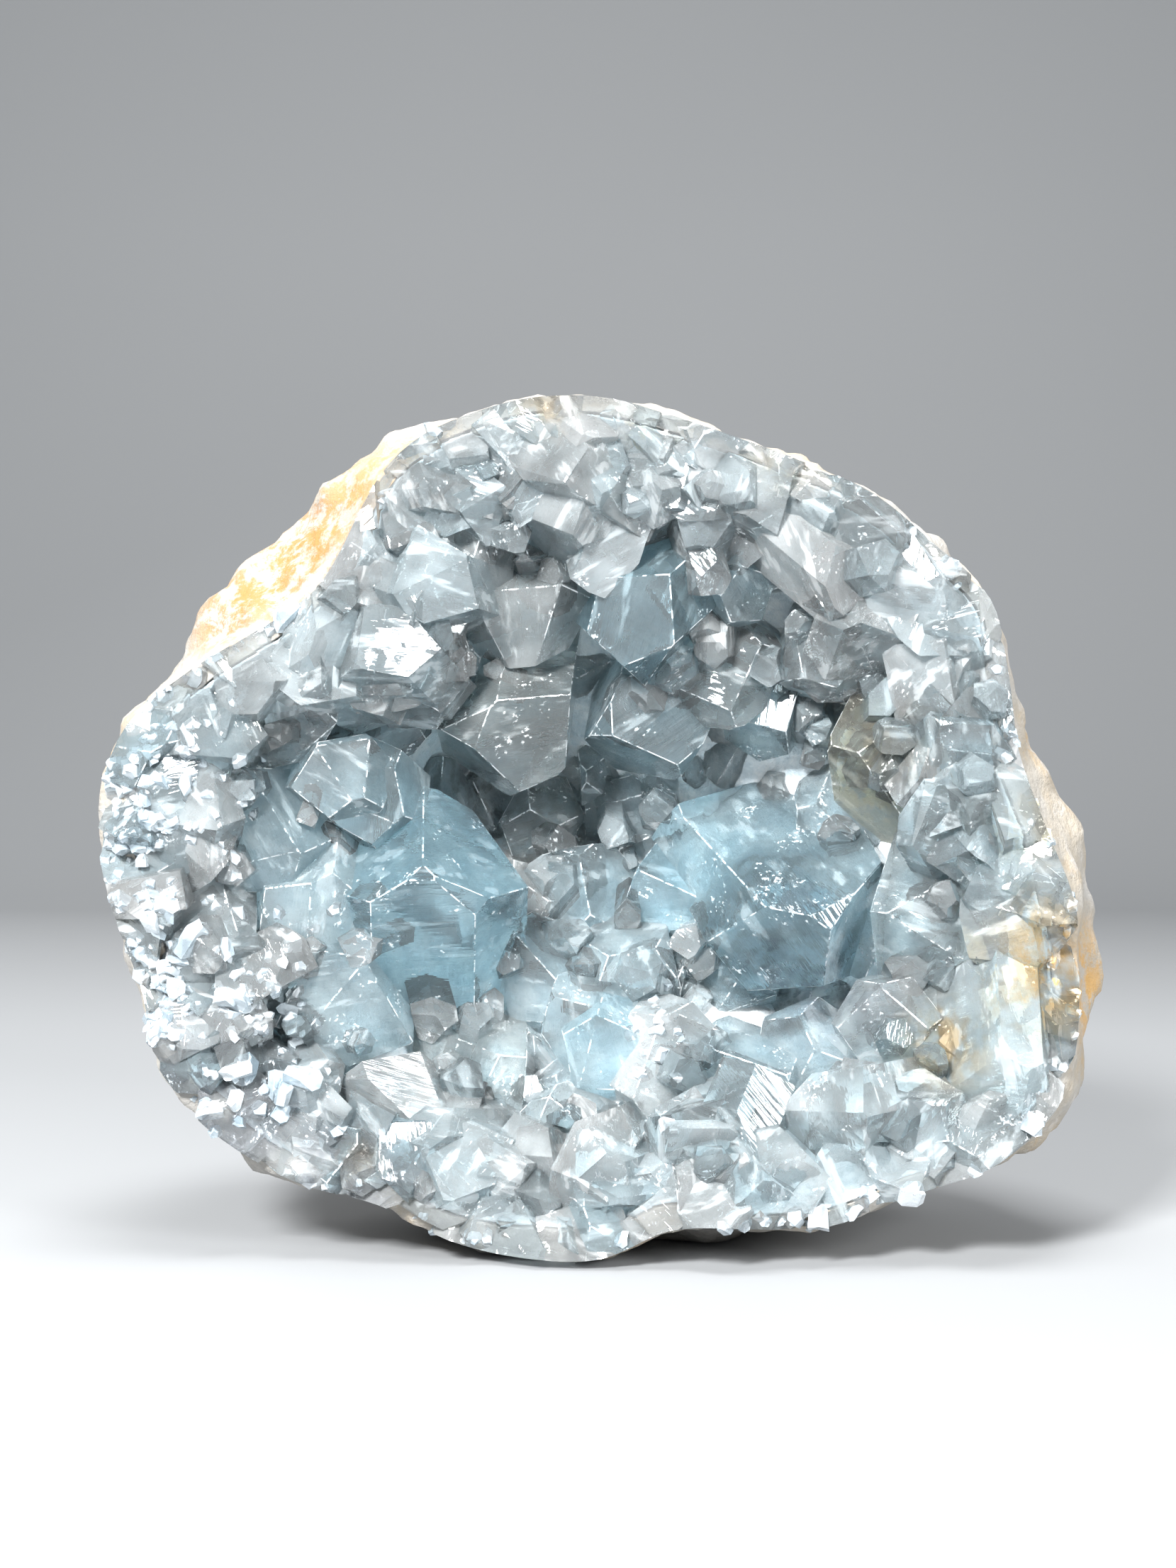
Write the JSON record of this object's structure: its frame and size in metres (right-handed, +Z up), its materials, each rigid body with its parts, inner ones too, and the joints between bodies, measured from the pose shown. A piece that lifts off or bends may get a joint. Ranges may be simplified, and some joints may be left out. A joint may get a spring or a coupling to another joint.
{
  "type": "celestite geode",
  "caption": "Natural celestite geode, broken open to a hollow lined with pale blue crystals. It stands on a small flat spot with its mouth to the front.",
  "frame": {"origin": "middle of the box at the floor, under the stone", "axes": "+Z up, the mouth of the hollow faces -Y, +X to the right seen into the mouth"},
  "size_m": [0.1532, 0.0935, 0.1307],
  "materials": {
    "rock": "rough, chalky white and cream with orange iron stains",
    "celestite": "clear to milky pale blue, glossy faces, white where broken"
  },
  "bodies": {
    "root": {"rock_shell": "rock", "crystal_crust": "celestite"}
  },
  "joints": []
}
